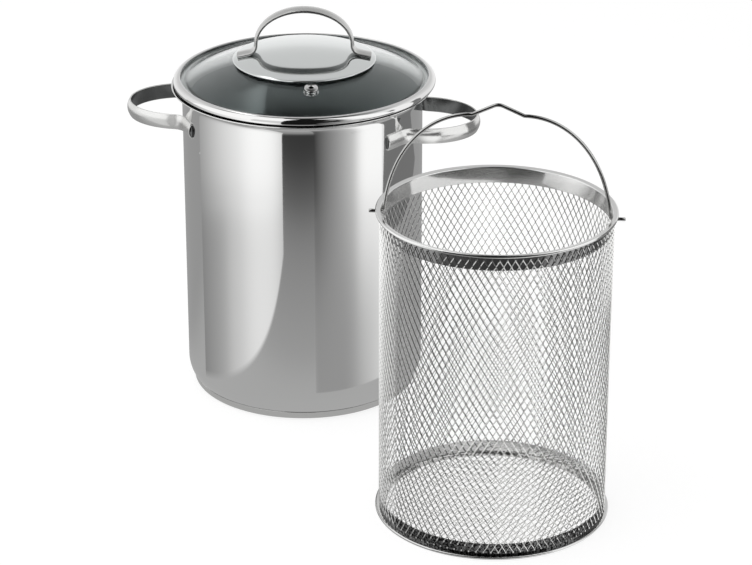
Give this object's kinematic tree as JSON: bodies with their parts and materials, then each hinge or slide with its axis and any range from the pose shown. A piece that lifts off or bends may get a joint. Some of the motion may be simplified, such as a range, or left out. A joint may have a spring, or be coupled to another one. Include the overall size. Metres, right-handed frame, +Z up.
{
  "type": "asparagus pot",
  "caption": "Tall steel pot with strap side handles, a domed glass lid with an arched handle and steam vent, and a lift-out mesh basket with a swinging wire bail.",
  "frame": {"origin": "centre of the pot's base, on the surface that the pot and the basket stand on", "axes": "+Z up along the pot's axis, +X through the right-hand side handle; the basket stands on the -Y side, towards +X"},
  "size_m": [0.3497, 0.3337, 0.2697],
  "materials": {
    "polished_steel": "mirror polished",
    "satin_steel": "satin",
    "mesh_steel": "bright expanded metal",
    "aluminium_core": "plain",
    "lid_glass": "clear tempered",
    "silicone_seal": "matt"
  },
  "bodies": {
    "pot": {"pot_body": "polished_steel", "base_core": "aluminium_core", "base_cap": "satin_steel", "handle_right": "satin_steel", "handle_left": "satin_steel"},
    "lid": {"lid_rim": "polished_steel", "lid_glass": "lid_glass", "handle_plate": "polished_steel", "lid_handle": "polished_steel", "plate_boss": "satin_steel", "plate_gasket": "silicone_seal", "lid_screw": "satin_steel", "screw_washer": "satin_steel", "screw_gasket": "silicone_seal", "vent_eyelet": "polished_steel", "vent_gasket": "silicone_seal", "vent_washer": "satin_steel"},
    "basket": {"basket_rim": "polished_steel", "basket_base_ring": "polished_steel", "basket_wall": "mesh_steel", "basket_floor": "mesh_steel"},
    "bail": {"bail": "polished_steel"}
  },
  "joints": [
    {"name": "lid_lift", "type": "slide", "parent": "pot", "child": "lid", "axis": [0, 0, 1], "range_m": [0, 0.15]},
    {"name": "basket_lift", "type": "slide", "parent": "pot", "child": "basket", "axis": [0, 0, 1], "range_m": [0, 0.23]},
    {"name": "bail_swing", "type": "hinge", "parent": "basket", "child": "bail", "pos_m": [0.15266, -0.17297, 0.1972], "axis": [0.9973, 0.0732, 0], "range_deg": [-81, 81]}
  ]
}
